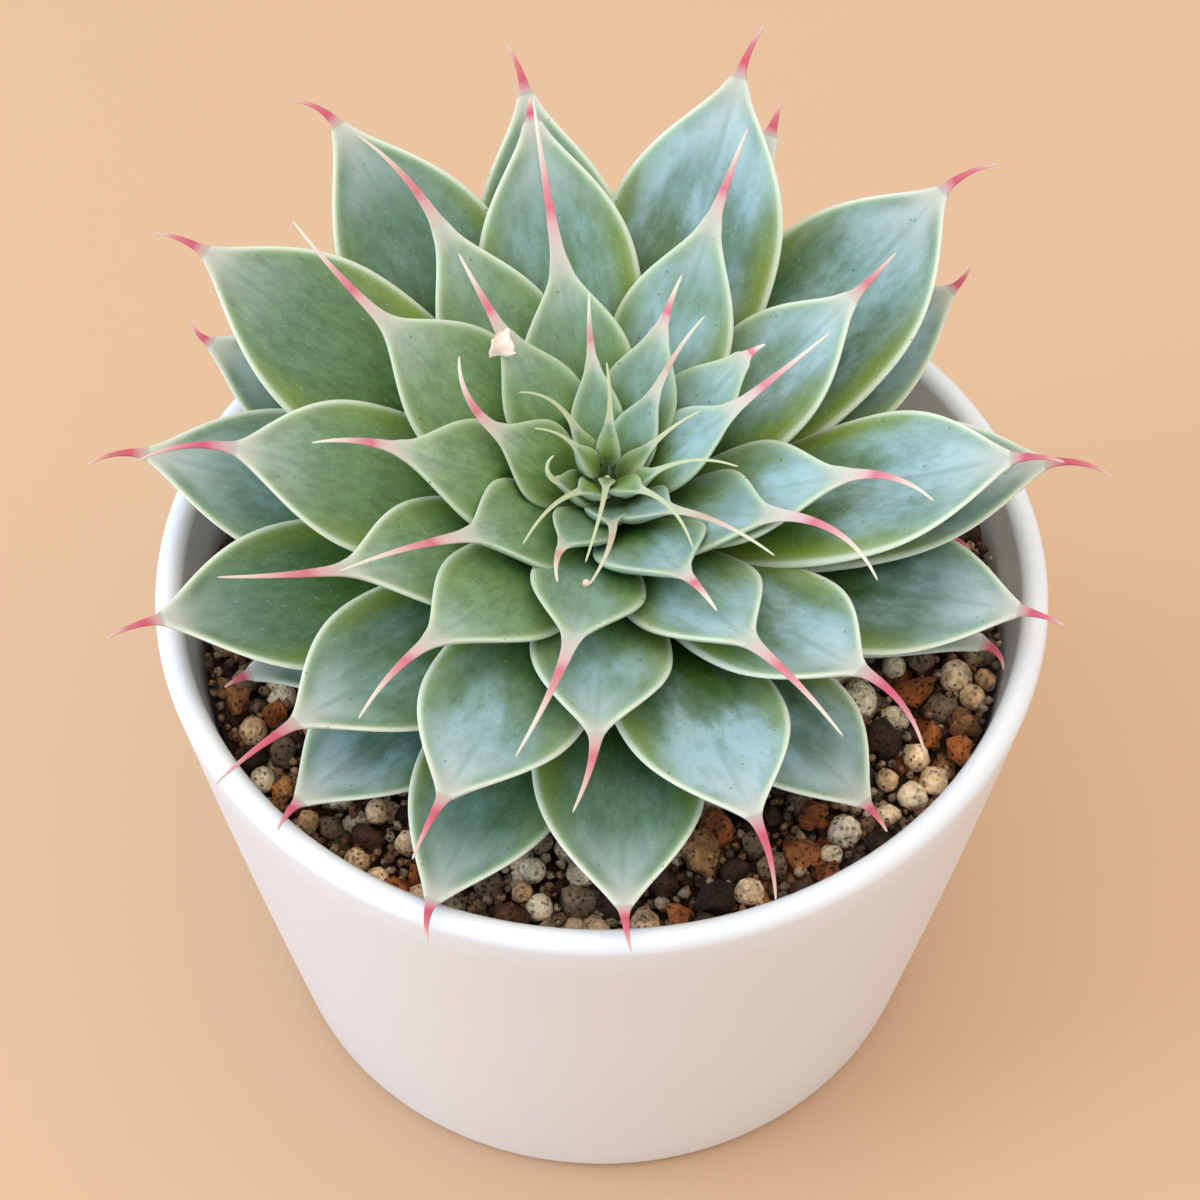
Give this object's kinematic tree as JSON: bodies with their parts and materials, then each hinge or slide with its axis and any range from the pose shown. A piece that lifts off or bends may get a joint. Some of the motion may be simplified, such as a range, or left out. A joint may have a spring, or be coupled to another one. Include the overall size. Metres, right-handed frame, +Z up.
{
  "type": "potted succulent rosette",
  "caption": "Rosette succulent with thick awn-tipped leaves, planted in coarse grit in a plain tapered white ceramic pot.",
  "frame": {"origin": "centre of the pot's flat underside, on the surface it stands on", "axes": "+Z up along the pot's axis, -Y towards the front seen in the picture, +X to the picture's right"},
  "size_m": [0.101, 0.0942, 0.0964],
  "materials": {
    "pot_ceramic": "satin",
    "grit": "rough",
    "stem": "matte",
    "heart_leaves": "satin",
    "outer_leaves": "satin",
    "inner_leaves": "satin"
  },
  "bodies": {
    "root": {"pot": "pot_ceramic", "grit": "grit", "stem": "stem", "heart": "heart_leaves", "leaf_01": "outer_leaves", "leaf_02": "outer_leaves", "leaf_03": "outer_leaves", "leaf_04": "outer_leaves", "leaf_05": "outer_leaves", "leaf_06": "outer_leaves", "leaf_07": "outer_leaves", "leaf_08": "outer_leaves", "leaf_09": "outer_leaves", "leaf_10": "outer_leaves", "leaf_11": "outer_leaves", "leaf_12": "outer_leaves", "leaf_13": "outer_leaves", "leaf_14": "outer_leaves", "leaf_15": "outer_leaves", "leaf_16": "outer_leaves", "leaf_17": "outer_leaves", "leaf_18": "outer_leaves", "leaf_19": "outer_leaves", "leaf_20": "outer_leaves", "leaf_21": "outer_leaves", "leaf_22": "outer_leaves", "leaf_23": "outer_leaves", "leaf_24": "outer_leaves", "leaf_25": "outer_leaves", "leaf_26": "outer_leaves", "leaf_27": "outer_leaves", "leaf_28": "outer_leaves", "leaf_29": "inner_leaves", "leaf_30": "inner_leaves", "leaf_31": "inner_leaves", "leaf_32": "inner_leaves", "leaf_33": "inner_leaves", "leaf_34": "inner_leaves", "leaf_35": "inner_leaves", "leaf_36": "inner_leaves", "leaf_37": "inner_leaves", "leaf_38": "inner_leaves", "leaf_39": "inner_leaves", "leaf_40": "inner_leaves", "leaf_41": "inner_leaves", "leaf_42": "inner_leaves", "leaf_43": "inner_leaves", "leaf_44": "inner_leaves", "leaf_45": "inner_leaves", "leaf_46": "inner_leaves", "leaf_47": "inner_leaves", "leaf_48": "inner_leaves", "leaf_49": "inner_leaves", "leaf_50": "inner_leaves", "leaf_51": "inner_leaves", "leaf_52": "inner_leaves", "leaf_53": "inner_leaves"}
  },
  "joints": []
}
